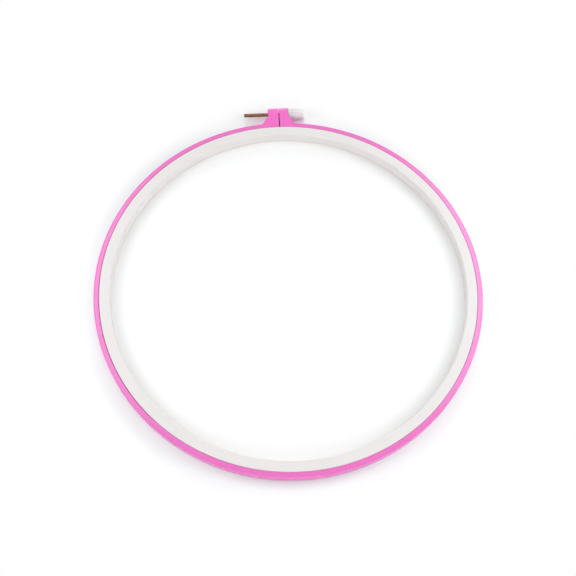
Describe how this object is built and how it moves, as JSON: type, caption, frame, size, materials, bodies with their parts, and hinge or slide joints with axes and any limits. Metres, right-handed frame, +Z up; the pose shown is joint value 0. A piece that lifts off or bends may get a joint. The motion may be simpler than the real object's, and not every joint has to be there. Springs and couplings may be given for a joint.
{
  "type": "embroidery hoop",
  "caption": "Round embroidery hoop: a split outer ring with two lugs is drawn tight round an inner ring by a knob screw.",
  "frame": {"origin": "centre of the round opening through the inner ring, at half the height of the rings", "axes": "+Z up along the axis of the rings; +Y from the centre towards the split and its two lugs; +X along the screw towards its knob"},
  "size_m": [0.2616, 0.2763, 0.0086],
  "materials": {
    "outer_ring_plastic": "glossy pink moulded plastic",
    "inner_ring_plastic": "glossy off-white moulded plastic",
    "brass": "dull coppery brass, rolled threads",
    "knob_plastic": "milky white moulded plastic"
  },
  "bodies": {
    "outer_ring": {"outer_ring": "outer_ring_plastic", "lug_nut": "brass"},
    "inner_ring": {"inner_ring": "inner_ring_plastic"},
    "knob_washer": {"knob_washer": "knob_plastic"},
    "clamp_screw": {"clamp_screw": "brass", "knob": "knob_plastic"}
  },
  "joints": [
    {"name": "ring_lift", "type": "slide", "parent": "outer_ring", "child": "inner_ring", "axis": [0, 0, 1], "range_m": [0, 0.02]},
    {"name": "washer_travel", "type": "slide", "parent": "outer_ring", "child": "knob_washer", "axis": [1, 0, 0], "range_m": [0, 0.008]},
    {"name": "screw_turn", "type": "hinge", "parent": "knob_washer", "child": "clamp_screw", "pos_m": [0, 0.14095, 0], "axis": [1, 0, 0], "range_deg": [0, 5760]}
  ],
  "couplings": [
    {"joint": "screw_turn", "follows": "washer_travel", "rad_per_m": 12566}
  ]
}
